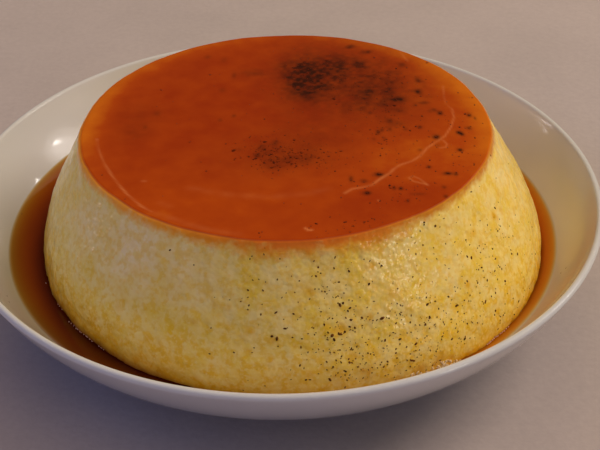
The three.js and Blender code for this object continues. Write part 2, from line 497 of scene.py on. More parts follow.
def porcelain():
    finish = Finish("porcelain_glaze")
    darker = PORCELAIN_WASH * PORCELAIN
    return finish.dress(
        Base_Color=finish.mix(finish.clouds(40 * MM, WIDE), (*PORCELAIN, 1), (*darker, 1)),
        Roughness=0.28,
        Coat_Weight=1.0,
        Coat_Roughness=0.09,
        Normal=finish.bump(finish.noise(14 * MM), 0.05 * MM),
    )


CREAM = srgb(236, 200, 74)
PALE_CREAM = srgb(240, 213, 130)
# Painted sheen: a lilac pale wash where the wet film would mirror cool light on the upper left.
PAINTED_SHEEN_LILAC = srgb(247, 223, 178)
GOLD = srgb(232, 182, 0)
SPOT_ORANGE = srgb(226, 168, 0)
HALO_ORANGE = srgb(228, 142, 16)
HALO_RED = srgb(226, 112, 16)
# Painted light: the halo is lighter on the shaded left, as if light shone through the caramel's thin edge,
# and darker on the lit right, between these ends across the flan.
HALO_PAINTED_LIGHTER_LEFT = srgb(250, 158, 28)
HALO_PAINTED_DARKER_RIGHT = srgb(202, 126, 12)
HALO_PAINTED_LIGHT_ENDS = (-60 * MM, 60 * MM)
STAIN_GOLD = (0.94, 0.80, 0.34, 1.0)
STAIN_BROWN = srgb(150, 78, 16)
WHITE = (1, 1, 1, 1)

# Sizes of the custard's patches of colour.
BROAD_PATCH = 8 * MM
WARM_PATCH = 12 * MM
SOAKED_PATCH = 5 * MM
MOTTLE = 3.6 * MM
RAGGED_EDGE = 1.8 * MM
FLECK = 1.4 * MM
# How far above the sauce the custard is warmer.
WARM_HEIGHT = 30 * MM
# The share of the mottle's cells that have a round blot, and how far the blots are drawn out of round.
BLOT_SHARE = 0.7
BLOT_DRIFT = 0.8 * MM


def round_blots(finish, spacing, share):
    """Soft round blots of uneven strength, in that share of the cells of a spacing."""
    shift = finish.vector("SUBTRACT", finish.noise(3 * MM, detail=1, output="Color"), (0.5, 0.5, 0.5))
    place = finish.vector("ADD", finish.place, finish.vector("SCALE", shift, scale=BLOT_DRIFT))
    cells = finish.node("TexVoronoi", {"Vector": place, "Scale": 1 / spacing})
    chance = finish.split(cells.outputs["Color"])[0]
    blot = finish.spread(cells.outputs["Distance"], 0.15, 0.55, 1.0, 0.0)
    return finish.maths("MULTIPLY", blot, finish.spread(chance, 1 - share, 1.0))


def custard_colour(finish):
    """Pale custard with golden blots, an orange halo below the caramel and brown stains by the sauce. A
    painted sheen pales the upper left, and the halo is painted lighter on the shaded left and darker on the
    lit right.
    """
    mix, spread, clouds, stored = finish.mix, finish.spread, finish.clouds, finish.stored
    sideways, _, height = finish.split(finish.place)
    plain = mix(clouds(BROAD_PATCH, (0.36, 0.64), detail=3), PALE_CREAM, CREAM)
    # Painted sheen of cool light on the upper left.
    cream = mix(stored("painted_sheen"), plain, PAINTED_SHEEN_LILAC)
    low = spread(height, SAUCE_LEVEL, SAUCE_LEVEL + WARM_HEIGHT, 1.0, 0.0)
    warm = mix(finish.maths("MULTIPLY", low, clouds(WARM_PATCH, to=(0.15, 0.60))), cream, GOLD)
    mottle = clouds(MOTTLE, (0.46, 0.60), roughness=0.55)
    patches = finish.maths("MAXIMUM", mottle, round_blots(finish, MOTTLE, BLOT_SHARE))
    golden = mix(finish.maths("MULTIPLY", patches, spread(low, 0.0, 0.7, 0.50, 1.0)), warm, GOLD)
    flecked = mix(clouds(FLECK, (0.50, 0.68), (0.0, 0.5), detail=1), golden, PALE_CREAM)
    spotted = mix(stored("spots"), flecked, SPOT_ORANGE)
    soaked = finish.maths("MULTIPLY", stored("soak"), clouds(SOAKED_PATCH, to=(0.8, 1.15)))
    ragged = finish.maths("ADD", soaked, clouds(RAGGED_EDGE, WIDE, (-0.10, 0.10), detail=3))
    orange = mix(spread(stored("soak"), 0.5, 0.68), HALO_ORANGE, HALO_RED)
    # Painted light: a lighter halo on the shaded left, a darker one on the lit right.
    painted_left = mix(spread(sideways, 0.0, HALO_PAINTED_LIGHT_ENDS[0]), orange, HALO_PAINTED_LIGHTER_LEFT)
    halo = mix(spread(sideways, 0.3 * HALO_PAINTED_LIGHT_ENDS[1], HALO_PAINTED_LIGHT_ENDS[1]), painted_left, HALO_PAINTED_DARKER_RIGHT)
    haloed = mix(spread(ragged, 0.05, 0.62), spotted, halo)
    stain = finish.ramp(stored("stain"), [(0.0, WHITE), (0.3, STAIN_GOLD), (1.0, STAIN_BROWN)])
    return mix(1.0, haloed, stain, "MULTIPLY")


LUMP = 2.6 * MM
PEBBLE = 1.9 * MM
CUSTARD_LUMP_DEPTH = 0.24 * MM
FILM_LUMP_DEPTH = 0.31 * MM
FILM_ROUGHNESS = 0.17


def custard_bump(finish, depth):
    """Soft lumps of the custard's skin. The wet film on it has deeper ones than the custard under it."""
    coarse = finish.bump(finish.noise(LUMP, detail=1), 0.7 * depth)
    cells = finish.node("TexVoronoi", {"Vector": finish.place, "Scale": 1 / PEBBLE})
    return finish.bump(finish.spread(cells.outputs["Distance"], 0.0, 0.7, 1.0, 0.0), 0.4 * depth, coarse)


def custard():
    finish = Finish("moist_custard")
    return finish.dress(
        Base_Color=custard_colour(finish),
        Roughness=finish.clouds(5 * MM, to=(0.40, 0.60)),
        Subsurface_Weight=0.2,
        Subsurface_Radius=(0.7 * MM, 0.5 * MM, 0.3 * MM),
        Subsurface_Scale=1.0,
        Coat_Weight=0.7,
        Coat_Roughness=FILM_ROUGHNESS,
        Normal=custard_bump(finish, CUSTARD_LUMP_DEPTH),
        Coat_Normal=custard_bump(finish, FILM_LUMP_DEPTH),
    )


CARAMEL_DEEP = srgb(142, 40, 5)
CARAMEL = srgb(169, 65, 8)
CARAMEL_LIGHT = srgb(200, 105, 16)
SCORCHED = srgb(42, 20, 8)
PALE_LINE_AND_GLINT = srgb(214, 128, 70)


def caramel():
    """Glossy caramel on the face, which gives way to haloed custard down the side."""
    finish = Finish("wet_caramel")
    depth = finish.maths("ADD", finish.stored("tone"), finish.clouds(9 * MM, WIDE, (-0.10, 0.10)))
    face = finish.ramp(depth, [(0.0, CARAMEL_DEEP), (0.5, CARAMEL), (1.0, CARAMEL_LIGHT)])
    dark = finish.mix(finish.stored("shade"), face, SCORCHED)
    # Pale wrinkles, and a painted glint along the left edge.
    lined = finish.mix(finish.stored("pale"), dark, PALE_LINE_AND_GLINT)
    soak = finish.stored("soak")
    side = finish.spread(soak, 0.70, 1.20, 1.0, 0.0)
    swell = finish.bump(finish.noise(18 * MM), 0.10 * MM)
    return finish.dress(
        Base_Color=finish.mix(side, lined, custard_colour(finish)),
        Roughness=finish.spread(soak, 1.22, 1.295, 0.6, 0.13),
        Normal=finish.bump(finish.noise(LUMP, detail=1), CUSTARD_LUMP_DEPTH, swell, side),
        Coat_Weight=finish.spread(soak, 0.50, 0.68, 0.7, 0.0),
        Coat_Roughness=FILM_ROUGHNESS,
        Coat_Normal=custard_bump(finish, FILM_LUMP_DEPTH),
    )


def sauce():
    """Syrup: its colour is that of the wall seen through it, lit as the wall is, below a mirroring skin."""
    finish = Finish("caramel_syrup")
    return finish.dress(
        Base_Color=finish.stored("syrup", "Color"),
        Roughness=0.6,
        Specular_IOR_Level=0.0,
        Normal=finish.stored("wall_normal", "Vector"),
        Coat_Weight=finish.spread(finish.stored("clinging"), 0.0, 1.0, 1.0, 0.15),
        Coat_Roughness=0.04,
        Coat_Normal=finish.bump(finish.noise(12 * MM), 0.04 * MM),
    )


def grains(name, dark, light, roughness):
    finish = Finish(name)
    colour = finish.mix(finish.clouds(1.5 * MM), dark, light)
    return finish.dress(Base_Color=colour, Roughness=roughness, Specular_IOR_Level=0.12)


def table_top():
    finish = Finish("table_top")
    wash = finish.clouds(60 * MM, WIDE, (0.0, 0.5), detail=3)
    weave = finish.clouds(3.5 * MM, WIDE, (0.0, 0.5), detail=3, roughness=0.7)
    both = finish.maths("ADD", wash, weave)
    return finish.dress(
        Base_Color=finish.mix(both, (0.372, 0.316, 0.302, 1), (0.444, 0.375, 0.359, 1)),
        Roughness=0.9,
        Normal=finish.bump(finish.noise(3 * MM, detail=4), 0.15 * MM),
    )


# ---- Bowl ----

BOWL_TURN_STEPS = 256
BOWL_WALL_STEPS = 40
LIP_STEPS = 12


def bowl_profile():
    """Radii and heights from the underside round the foot, wall and lip to the floor."""
    inside = FOOT_RADIUS - FOOT_WIDTH
    foot = [
        (inside - FOOT_ROUNDING, UNDERSIDE_HEIGHT),
        (inside, UNDERSIDE_HEIGHT - FOOT_ROUNDING),
        (inside, FOOT_ROUNDING / 2),
        (inside + FOOT_ROUNDING / 2, 0),
        (FOOT_RADIUS - FOOT_ROUNDING, 0),
        (FOOT_RADIUS, FOOT_ROUNDING),
    ]
    arc = np.linspace(FLOOR_ANGLE, LIP_ANGLE, BOWL_WALL_STEPS + 1)
    turn = np.linspace(LIP_ANGLE, LIP_ANGLE + math.pi, LIP_STEPS + 1)[1:-1]
    lip = LIP_CENTRE + LIP_RADIUS * np.stack([np.cos(turn), np.sin(turn)], axis=1)
    outer, inner = np.stack(wall_points(arc, 1), axis=1), np.stack(wall_points(arc[::-1], -1), axis=1)
    return np.concatenate([foot, outer, lip, inner])


def add_bowl():
    profile = bowl_profile()
    vertices, faces = closed_rings(around(directions(BOWL_TURN_STEPS), profile[:, :1], profile[:, 1:]))
    add_piece("bowl_glazed", vertices, faces, porcelain(), ["bowl"], 40)


# ---- Finding what pixels of the photograph show ----

# Sight lines are followed in steps between two distances, and the last step is halved.
NEAREST = 0.30
FARTHEST = 0.80
LOOK_STEP = 1 * MM
HALVINGS = 14


def first_hit(pixels, is_outside):
    """The first points on the sight lines of pixels that are not outside a solid."""
    lines = sight_lines(pixels)
    start = np.array(CAMERA_PLACE)

    def outside(distance):
        return is_outside(start + distance[:, None] * lines)

    high = np.full(len(lines), NEAREST)
    while outside(high).any() and high.max() < FARTHEST:
        high = np.where(outside(high), high + LOOK_STEP, high)
    low = high - LOOK_STEP
    for _ in range(HALVINGS):
        middle = (low + high) / 2
        still_out = outside(middle)
        low, high = np.where(still_out, middle, low), np.where(still_out, high, middle)
    return start + high[:, None] * lines


def on_side(pixels):
    """Points of the flan's side that pixels show."""

    def is_outside(points):
        height = points[:, 2]
        return away(points, flan_centre(height)) > flan_radius(height)

    return first_hit(pixels, is_outside)


def on_dish(pixels):
    """Points of the bowl's inner face, or of the sauce on it, that pixels show."""

    def is_outside(points):
        return points[:, 2] > np.maximum(inner_height(away(points)), SAUCE_LEVEL)

    return first_hit(pixels, is_outside)


def on_face(pixels):
    """Points of the caramel's face that pixels show."""
    lines = sight_lines(pixels)
    start = np.array(CAMERA_PLACE)
    slope = np.array([-TOP_RISE_TO_RIGHT, TOP_RISE_TO_FRONT, 1.0])
    distance = (face_height(0, 0) - start @ slope) / (lines @ slope)
    return start + distance[:, None] * lines


# ---- Custard ----

FLAN_TURN_STEPS = 900
CUSTARD_SIDE_STEPS = 88
CUSTARD_SEAT_STEPS = 8

# Golden spots on the custard's side: pixel of the photograph, radius in millimetres and strength.
GOLDEN_SPOTS = [
    (494, 216, 1.5, 1), (497, 218, 1.2, 0.5), (502, 212, 1.2, 0.4), (474, 233, 1.8, 0.5),
    (481, 242, 1.2, 0.4), (468, 285, 1.5, 0.9), (498, 194, 1.2, 0.4), (309, 291, 1.8, 0.6),
    (305, 287, 2.4, 0.25), (372, 266, 1.5, 0.75), (367, 267, 1.4, 0.4), (381, 252, 1.6, 0.4),
    (362, 247, 2.2, 0.3), (370, 318, 1.4, 0.55), (341, 328, 2, 0.6), (336, 332, 1.8, 0.4),
    (354, 356, 1.6, 0.5), (392, 292, 2.6, 0.4), (409, 308, 1.6, 0.3), (435, 310, 1.8, 0.35),
    (420, 368, 2.2, 0.8), (440, 357, 2.4, 0.5), (310, 375, 1.6, 0.5), (327, 327, 1.6, 0.4),
    (250, 331, 1.7, 0.55), (194, 322, 1.4, 0.4), (181, 328, 1.2, 0.3), (227, 327, 1.2, 0.35),
    (219, 315, 1.2, 0.3), (216, 306, 1.2, 0.35), (222, 306, 1.2, 0.4), (229, 307, 1.2, 0.4),
    (248, 352, 1.4, 0.35), (270, 359, 1.4, 0.35), (242, 340, 1.4, 0.3), (159, 343, 1.4, 0.35),
    (147, 342, 1.6, 0.3), (181, 347, 1.4, 0.3), (196, 378, 1.6, 0.35), (272, 341, 1.6, 0.5),
    (207, 294, 1.4, 0.3), (118, 308, 1.6, 0.3), (124, 301, 1.4, 0.3), (84, 228, 1.4, 0.35),
    (81, 255, 1.4, 0.3),
]
# Brown smears on it, and reaches with a painted sheen of the cool light on the upper left, the same way.
BROWN_SMEARS = [
    (363, 371, 1.2, 0.5), (370, 370, 1.4, 0.45), (362, 379, 1.8, 0.3), (341, 333, 1.2, 0.3),
    (534, 254, 0.8, 0.4), (372, 377, 1.6, 0.3), (435, 365, 1.6, 0.4), (450, 358, 1.6, 0.4),
]
PAINTED_SHEEN_REACHES = [(135, 243, 18, 0.70), (182, 262, 16, 0.45), (92, 225, 14, 0.45)]
STRAY_SPOTS = 110
SPOT_STRENGTH = 1.4


def blots(points, middles, reach, strength):
    """The strongest of some soft round blots at each point."""
    strongest = np.zeros(len(points))
    for middle, radius, share in zip(middles, reach, strength):
        distance = np.linalg.norm(points - middle, axis=1) / radius
        strongest = np.maximum(strongest, share * np.exp(-(distance**2)))
    return strongest


def named_blots(points, table):
    """Blots from a table of pixels on the custard's side, radii in millimetres and strengths."""
    table = np.array(table)
    return blots(points, on_side(table[:, :2]), table[:, 2] * MM, table[:, 3])


def custard_spots(points, rng):
    """How golden each point is: the spots that show from the front, and stray ones all round."""
    turns = rng.uniform(0, FULL_TURN, STRAY_SPOTS)
    middles = flan_point(turns, rng.uniform(BELLY_HEIGHT, TOP_HEIGHT, STRAY_SPOTS))
    reach, strength = rng.uniform(0.7, 1.6, STRAY_SPOTS) * MM, rng.uniform(0.1, 0.35, STRAY_SPOTS)
    named = np.minimum(SPOT_STRENGTH * named_blots(points, GOLDEN_SPOTS), 1)
    return np.maximum(named, blots(points, middles, reach, strength))


# Sauce that has soaked into the foot, as a dark line and as a faint stain over it: strength and height.
SOAKED_IN = [(0.65, 1.3 * MM), (0.32, 4.2 * MM)]
# Where it has soaked in most, and its relative height and strength far from there and right there.
WETTEST_ANGLE = math.radians(-134)
WETTEST_SPREAD = math.radians(26)
WET_HEIGHTS = (0.75, 2.15)
WET_STRENGTHS = (0.60, 1.0)
# The sauce climbs the custard in a fillet of this radius, up to this steepness.
FILLET_RADIUS = 2.2 * MM
FILLET_STEEPNESS = math.radians(55)
FILLET_TOP = 0.9 * MM


def custard_stain(points):
    """How brown each point is, from the sauce below it or from a smear."""
    above = np.maximum(points[:, 2] - SAUCE_LEVEL - FILLET_TOP / 2, 0)
    wetness = bell(direction(points, BELLY_CENTRE), WETTEST_ANGLE, WETTEST_SPREAD)
    broad, fine = lumps(points * (1, 1, 0.3), 16 * MM, 41), lumps(points * (1, 1, 0.5), 5 * MM, 42)
    uneven = blend(wetness, *WET_HEIGHTS) * (1 + 0.5 * broad + 0.3 * fine)
    stain = sum(strength * np.exp(-above / (height * uneven)) for strength, height in SOAKED_IN)
    return np.maximum(stain * blend(wetness, *WET_STRENGTHS), named_blots(points, BROWN_SMEARS))


# The orange halo below the caramel: its height, and how much taller it is where it runs down.
HALO_HEIGHT = 4.8 * MM
HALO_RUN = 5.0 * MM
HALO_RUN_ANGLE = math.radians(-82)
HALO_RUN_SPREAD = math.radians(28)
HALO_UNEVENNESS = 0.35
# It is full down to this share of its height, and fades below.
HALO_FADE_START = 0.12
# Where the caramel's face ends on its side, and how soaked the face and the halo are.
FACE_BLEED = (0.0, 0.65 * MM)
FACE_SOAK = 1.30
HALO_SOAK = 0.66


def caramel_soak(points):
    """How soaked with caramel each point is, down to 0 in plain custard."""
    below = face_height(points[:, 0], points[:, 1]) - points[:, 2]
    run = HALO_RUN * bell(direction(points, TOP_CENTRE), HALO_RUN_ANGLE, HALO_RUN_SPREAD)
    reach = (HALO_HEIGHT + run) * (1 + HALO_UNEVENNESS * lumps(points * (1, 1, 0.2), 6 * MM, 43))
    in_halo = 1 - smooth(below, HALO_FADE_START * reach, reach)
    on_caramel = 1 - smooth(below, *FACE_BLEED)
    return HALO_SOAK * in_halo + (FACE_SOAK - HALO_SOAK) * on_caramel


def store_custard(piece, vertices, rng):
    """Keeps what the custard's colour reads, apart from its stain."""
    store(piece, "spots", custard_spots(vertices, rng))
    store(piece, "soak", caramel_soak(vertices))
    # The painted sheen on the upper left.
    store(piece, "painted_sheen", named_blots(vertices, PAINTED_SHEEN_REACHES))


def add_custard(rng):
    seat = blend(np.linspace(0, 1, CUSTARD_SEAT_STEPS + 1) ** 1.5, BOWL_FLOOR, BELLY_HEIGHT)
    side = np.linspace(BELLY_HEIGHT, LAYER_HEIGHT, CUSTARD_SIDE_STEPS + 1)
    rings = custard_point(directions(FLAN_TURN_STEPS), np.concatenate([seat[:-1], side])[:, None])
    vertices, faces = closed_rings(rings)
    piece = add_piece("custard_body", vertices, faces, custard(), ["custard"], 50)
    store_custard(piece, vertices, rng)
    store(piece, "stain", custard_stain(vertices))


# ---- Caramel top ----

CARAMEL_SIDE_STEPS = 5
CARAMEL_EDGE_STEPS = 5
CARAMEL_FACE_STEPS = 118
CARAMEL_TURN_STEPS = 720
# The caramel's side has this share of the custard's relief.
CARAMEL_RELIEF = 0.7
# How far the face stays below the solids' highest point.
HAIR = 0.001 * MM

# Pale lines on the caramel, by pixels of the photograph, with their width in millimetres and strength.
# The first is a painted glint along the caramel's rounded left edge; the others are pale wrinkles of its
# skin.
PALE_LINES_AND_GLINT = [
    (
        [(97, 139), (98, 148), (104, 163), (111, 174), (119, 185), (127, 194), (141, 206), (152, 212)],
        0.5, 0.5,
    ),
    ([(152, 212), (170, 218), (188, 224), (210, 230), (240, 234)], 1.5, 0.16),
    ([(345, 193), (352, 189), (364, 187), (372, 185), (380, 179), (390, 173), (394, 169)], 0.7, 0.55),
    ([(394, 169), (400, 165), (412, 161), (420, 156), (427, 148), (436, 142), (445, 136)], 0.6, 0.55),
    ([(445, 136), (451, 127), (454, 117), (452, 109)], 0.45, 0.5),
    ([(452, 109), (446, 104), (444, 97), (443, 86)], 0.4, 0.3),
    ([(409, 178), (413, 176), (420, 179), (428, 185), (421, 183), (413, 181), (409, 178)], 0.45, 0.5),
    ([(440, 148), (446, 147), (447, 144), (443, 140)], 0.45, 0.35),
    ([(401, 52), (404, 57), (408, 61)], 0.5, 0.25),
    ([(190, 188), (230, 195), (271, 197), (311, 193), (327, 188)], 2, 0.1),
    ([(143, 181), (145, 181)], 0.8, 0.45),
    ([(160, 203), (169, 206)], 1.6, 0.14),
    ([(305, 228), (308, 230), (312, 230)], 0.5, 1),
    ([(378, 200), (379, 201)], 0.4, 0.5),
]
# Soft dark spots in the caramel: middle and half widths in pixels, and strength.
DARK_SPOTS = [
    (345, 78, 56, 34, 0.36), (309, 76, 22, 20, 0.6), (310, 140, 34, 18, 0.14), (390, 98, 36, 26, 0.22),
    (285, 156, 50, 20, 0.16), (308, 71, 9, 6, 0.7), (297, 71, 6, 6, 0.55), (318, 79, 6, 4, 0.85),
    (312, 79, 5, 5, 0.4), (306, 64, 7, 4, 0.4), (298, 85, 8, 7, 0.5), (306, 92, 9, 5, 0.5),
    (322, 88, 9, 6, 0.35), (328, 66, 9, 4, 0.35), (312, 98, 10, 4, 0.28), (290, 78, 6, 14, 0.28),
    (342, 62, 12, 6, 0.42), (340, 74, 12, 8, 0.35), (350, 47, 4, 1.6, 0.75), (366, 52, 5, 1.6, 0.65),
    (359, 65, 6, 4, 0.62), (371, 74, 9, 4, 0.3), (368, 84, 14, 8, 0.34), (383, 62, 4, 3, 0.25),
    (403, 65, 3.5, 2, 0.55), (393, 73, 7, 2.5, 0.35), (392, 80, 8, 4, 0.25), (418, 80, 2.4, 2.4, 0.65),
    (424, 84, 2, 3, 0.2), (418, 92, 3, 2.8, 0.8), (410, 91, 5, 1.5, 0.25), (389, 92, 5, 3, 0.62),
    (388, 86, 8, 4, 0.3), (369, 94, 4, 3.4, 0.6), (360, 96, 8, 6, 0.34), (397, 99.5, 6, 2.2, 0.92),
    (386, 103, 6, 4, 0.42), (366, 103, 6, 3, 0.35), (362, 109, 5, 2, 0.45), (349, 105, 6, 3, 0.28),
    (344, 111, 5, 3, 0.22), (397, 110, 6, 2.4, 0.5), (378, 108, 3, 1.5, 0.3), (370, 113, 2, 1.4, 0.5),
    (390, 121, 4, 1.8, 0.55), (396, 124, 7, 3, 0.25), (390, 129, 2, 2, 0.45), (405, 129, 2, 1.4, 0.5),
    (378, 132.5, 2, 2, 0.75), (382, 130, 1.6, 1.6, 0.6), (384, 138, 2, 2, 0.35), (374, 139, 1.6, 1.4, 0.4),
    (420, 127, 2, 1.4, 0.5), (424, 103, 4, 1.4, 0.55), (415, 105, 2, 1.4, 0.4), (428, 97, 4, 1.4, 0.3),
    (434, 110, 2, 1.6, 0.45), (430, 111, 2, 1.4, 0.35), (440, 113, 2.4, 1.8, 0.95), (436, 137, 3, 2, 0.95),
    (438, 145, 2, 1.4, 0.4), (469, 115, 2, 1.8, 0.85), (475, 118, 1.2, 1.4, 0.55),
    (469, 128, 2.4, 1.4, 0.8), (459, 132.5, 2.4, 1.6, 0.85), (462, 134, 2, 1.4, 0.85),
    (460, 150, 2.4, 1.4, 0.95), (420, 150, 2, 1.2, 0.35), (429, 167, 1.8, 1.4, 0.8),
    (448, 173.5, 4, 1.4, 0.9), (456, 174, 2, 1.4, 0.75), (379, 174.5, 4.4, 1.8, 0.95),
    (364, 181, 3, 1.6, 0.6), (351, 179, 2, 2.4, 0.75), (367, 193, 3.4, 1.6, 0.95),
    (394, 188, 1.8, 1.6, 0.65), (401, 188.5, 2, 1.4, 0.75), (444, 187, 2, 1.4, 0.5),
    (446, 196.5, 2, 1.4, 0.65), (418, 194, 6, 1.2, 0.4), (408, 201, 1.6, 1.4, 0.6),
    (262, 147, 4, 2.4, 0.45), (275, 143, 3, 2.4, 0.5), (258, 155, 3, 2, 0.55), (272, 152, 12, 6, 0.22),
    (280, 162, 16, 5, 0.25), (305, 158, 16, 4, 0.25), (272, 167, 7, 3, 0.3), (238, 150, 4, 2, 0.22),
    (220, 120, 1.8, 1.4, 0.4), (234, 116, 1.8, 1.4, 0.4), (140, 115, 22, 10, 0.12), (134, 133, 14, 8, 0.14),
    (157, 114, 3, 2, 0.22), (145, 128, 2, 2, 0.22), (208, 57, 3, 1.6, 0.3), (224, 60, 3, 2, 0.22),
    (234, 76, 2, 3, 0.25), (254, 73, 12, 3, 0.28), (222, 90, 3, 2, 0.25), (284, 66, 6, 5, 0.28),
]
# Its lighter and darker reaches, the same way.
TONE_BLOBS = [
    (425, 152, 50, 26, 0.28), (440, 85, 36, 26, 0.26), (478, 130, 24, 30, 0.1), (98, 118, 20, 36, 0.1),
    (200, 205, 110, 24, 0.16), (330, 172, 60, 22, 0.1), (420, 203, 60, 14, -0.2), (250, 105, 110, 40, -0.1),
]
BLOB_REACH = 1.2
DARKEST_SPOT = 0.95
PLAIN_TONE = 0.30
# It is lighter outside this share of its radius, a little in front, and more behind on both sides.
RIM_START = 0.84
RIM_TONE_IN_FRONT = 0.10
RIM_TONE_BEHIND = 0.42


def distance_to_path(points, path):
    """Distance from each point to a path of straight stretches, seen from above."""
    nearest = np.full(len(points), np.inf)
    for first, last in zip(path[:-1], path[1:]):
        along = last - first
        share = np.clip(((points - first) @ along) / (along @ along), 0, 1)
        nearest = np.minimum(nearest, np.linalg.norm(points - first - share[:, None] * along, axis=1))
    return nearest


def pale_lines_and_glint(points):
    """How pale each point is, on the thin lines and wrinkles of the caramel's skin and on a painted glint
    along its left edge.
    """
    pale = np.zeros(len(points))
    broken = 0.7 + 0.5 * lumps(points, 4 * MM, 51)
    for pixels, width, strength in PALE_LINES_AND_GLINT:
        distance = distance_to_path(points[:, :2], on_face(pixels)[:, :2])
        pale = np.maximum(pale, strength * broken * np.exp(-((distance / (width * MM)) ** 2)))
    return np.clip(pale, 0, 1)


def face_blobs(points, table):
    """Strengths and shapes of oval blobs on the caramel, from a table of pixels."""
    for x, y, half_width, half_height, strength in table:
        middle, right, front = on_face([(x, y), (x + half_width, y), (x, y + half_height)])
        reach = BLOB_REACH * np.array([right[0] - middle[0], middle[1] - front[1]])
        offset = (points[:, :2] - middle[:2]) / reach
        yield strength, np.exp(-(offset**2).sum(axis=1))


def dark_spots(points):
    """Where vanilla seeds below the surface darken the caramel."""
    light = np.ones(len(points))
    for strength, blob in face_blobs(points, DARK_SPOTS):
        light = light * (1 - strength * blob)
    speckle = 1 + 0.20 * lumps(points, 3 * MM, 61) + 0.30 * lumps(points, 1.5 * MM, 62)
    return np.clip((1 - light) * speckle, 0, DARKEST_SPOT)


def caramel_tone(points):
    """0 is deep red brown, and 1 is light orange, as near the rim at the back."""
    sideways, back = (points[:, :2] - TOP_CENTRE).T / TOP_RADIUS
    behind = smooth(back + 0.5 * np.abs(sideways), -0.2, 0.5) * np.sqrt(np.abs(sideways))
    rim = smooth(np.hypot(sideways, back), RIM_START, 1) * (RIM_TONE_IN_FRONT + RIM_TONE_BEHIND * behind)
    return PLAIN_TONE + rim + sum(amount * blob for amount, blob in face_blobs(points, TONE_BLOBS))


def add_caramel(rng):
    angles = directions(CARAMEL_TURN_STEPS)
    rim = flan_point(angles, TOP_HEIGHT)
    edge_height = face_height(rim[:, 0], rim[:, 1])
    rings = []
    for share in np.linspace(0, 1, CARAMEL_SIDE_STEPS + 1)[:-1]:
        height = blend(share, LAYER_HEIGHT, edge_height - CARAMEL_ROUNDING)
        rings.append(custard_point(angles, height, CARAMEL_RELIEF))
    for turn in np.linspace(0, math.pi / 2, CARAMEL_EDGE_STEPS + 1):
        height = edge_height - CARAMEL_ROUNDING * (1 - math.sin(turn))
        inset = CARAMEL_ROUNDING * (1 - math.cos(turn))
        rings.append(custard_point(angles, height, CARAMEL_RELIEF * math.cos(turn), -inset))
    edge = rings[-1][:, :2]
    for share in np.linspace(1, 0, CARAMEL_FACE_STEPS + 1)[1:-1]:
        x, y = blend(share, TOP_CENTRE, edge).T
        rings.append(np.stack([x, y, face_height(x, y)], axis=1))
    rings = np.stack(rings)
    rings[..., 2] = np.minimum(rings[..., 2], CAD_BOX[1].z - HAIR)
    vertices, faces = closed_rings(rings)
    piece = add_piece("caramel_face", vertices, faces, caramel(), ["caramel_top"], 60)
    store_custard(piece, vertices, rng)
    store(piece, "stain", np.zeros(len(vertices)))
    store(piece, "tone", caramel_tone(vertices))
    store(piece, "shade", dark_spots(vertices))
    store(piece, "pale", pale_lines_and_glint(vertices))


# ---- Sauce ----

SAUCE_TURN_STEPS = 540
SAUCE_SURFACE_STEPS = 34
SAUCE_DEPTH_STEPS = 8
SAUCE_FLOOR = BOWL_FLOOR + SEAT_CLEARANCE
# The sauce climbs the wall a little, and more where a direction points further right than these shares.
CREEP_UP_WALL = (0.05 * MM, 0.70 * MM)
CREEP_ENDS = (0.2, 0.8)
CREEP_REACH = 1.8 * MM
INTO_WALL = 0.1 * MM
INTO_CUSTARD = 0.6 * MM
# Where the skin stops clinging to the custard and mirrors, by the distance from its belly.
CLINGING_ENDS = (0.6 * MM, 2.2 * MM)

# How fast the syrup swallows red, green and blue light, for each metre of its depth.
SYRUP_ABSORPTION = np.array([55, 270, 800])
SYRUP_DARKEST = np.array([0.034, 0.028, 0.001])
# The syrup ends on the wall in a bead of this thickness, which it reaches at that depth.
BEAD_THICKNESS = 2.4 * MM
BEAD_DEPTH = 1.7 * MM
# How brightly the syrup glows on the left and on the right, where more light gets into it.
GLOWS = np.array([[0.77, 0.80, 0.80], [1.30, 1.14, 0.80]])
GLOW_ENDS = (-70 * MM, 70 * MM)
# How much darker it is close to the custard on the left and on the right, and how far off that ends.
FOOT_SHADES = (0.56, 0.42)
FOOT_SHADE_REACHES = (4.8 * MM, 1.4 * MM)
# How much darker it is at the front left, where the near lip keeps the light off it.
FRONT_SHADE = np.array([0.50, 0.75, 0.75])
FRONT_SHADE_ENDS = (50 * MM, 100 * MM)


def flan_reach(angles, height):
    """Distance of the flan's side from the bowl's middle, in directions round the bowl."""
    centre = flan_centre(height)
    along = (around(angles, 1, 0)[..., :2] * centre).sum(axis=-1)
    off = (centre**2).sum(axis=-1) - along**2
    return along + np.sqrt(flan_radius(height) ** 2 - off)


def custard_edge(angles):
    """Distance of the custard's uneven surface from the bowl's middle, just above the sauce."""
    reach = flan_reach(angles, np.full_like(angles, SAUCE_LEVEL))
    round_flan = direction(around(angles, reach, SAUCE_LEVEL), BELLY_CENTRE)
    relief = custard_relief(flan_point(round_flan, SAUCE_LEVEL + FILLET_TOP / 2))
    return reach + side_waves(round_flan, SAUCE_LEVEL) + relief


def fillet_rise(angles, from_inner):
    """How far the sauce climbs at a distance from its edge inside the custard."""
    curve = FILLET_RADIUS * (1 + 0.3 * lumps(around(angles, BELLY_RADIUS, 0.0), 7 * MM, 71))
    to_fillet = np.maximum(curve * math.sin(FILLET_STEEPNESS) - from_inner, 0)
    return curve - np.sqrt(np.maximum(curve**2 - to_fillet**2, 0))


